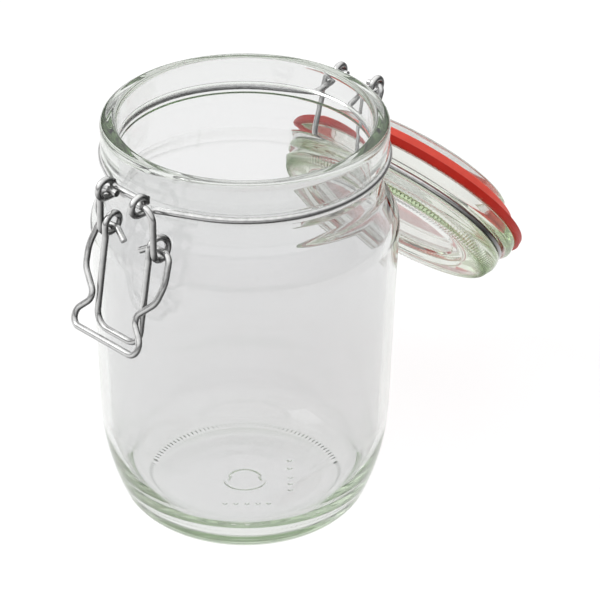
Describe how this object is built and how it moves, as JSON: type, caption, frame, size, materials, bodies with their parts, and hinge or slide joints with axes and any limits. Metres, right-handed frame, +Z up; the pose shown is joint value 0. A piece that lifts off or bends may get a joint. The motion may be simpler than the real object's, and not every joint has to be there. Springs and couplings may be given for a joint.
{
  "type": "wire bail preserving jar",
  "caption": "Round clear-glass preserving jar with a wide mouth, rubber sealing ring and hinged glass lid held by a wire lever clamp, shown open.",
  "frame": {"origin": "centre of the jar's base, on the plane it stands on", "axes": "+Z up along the jar's axis; +Y towards the lid's hinge; +X along the hinge line; the clamp is near -Y, 5.8 degrees round towards -X"},
  "size_m": [0.1168, 0.2121, 0.165],
  "materials": {
    "clear_glass": "clear soda-lime glass with a faint green edge",
    "steel_wire": "bright drawn stainless steel wire",
    "red_rubber": "smooth red natural rubber"
  },
  "bodies": {
    "jar": {"jar_glass": "clear_glass", "neck_wire": "steel_wire"},
    "lid": {"lid_glass": "clear_glass", "gasket": "red_rubber", "lid_wire": "steel_wire"},
    "lever": {"lever": "steel_wire"},
    "bail": {"bail": "steel_wire"}
  },
  "joints": [
    {"name": "lid_hinge", "type": "hinge", "parent": "jar", "child": "lid", "pos_m": [0, 0.06786, 0.15442], "axis": [1, 0, 0], "range_deg": [0, 230.1]},
    {"name": "lever_pivot", "type": "hinge", "parent": "jar", "child": "lever", "pos_m": [-0.00617, -0.06079, 0.15457], "axis": [-0.9949, 0.1011, 0], "range_deg": [0, 90]},
    {"name": "bail_pivot", "type": "hinge", "parent": "lever", "child": "bail", "pos_m": [-0.00577, -0.05684, 0.13691], "axis": [-0.9949, 0.1011, 0], "range_deg": [0, 100]}
  ]
}
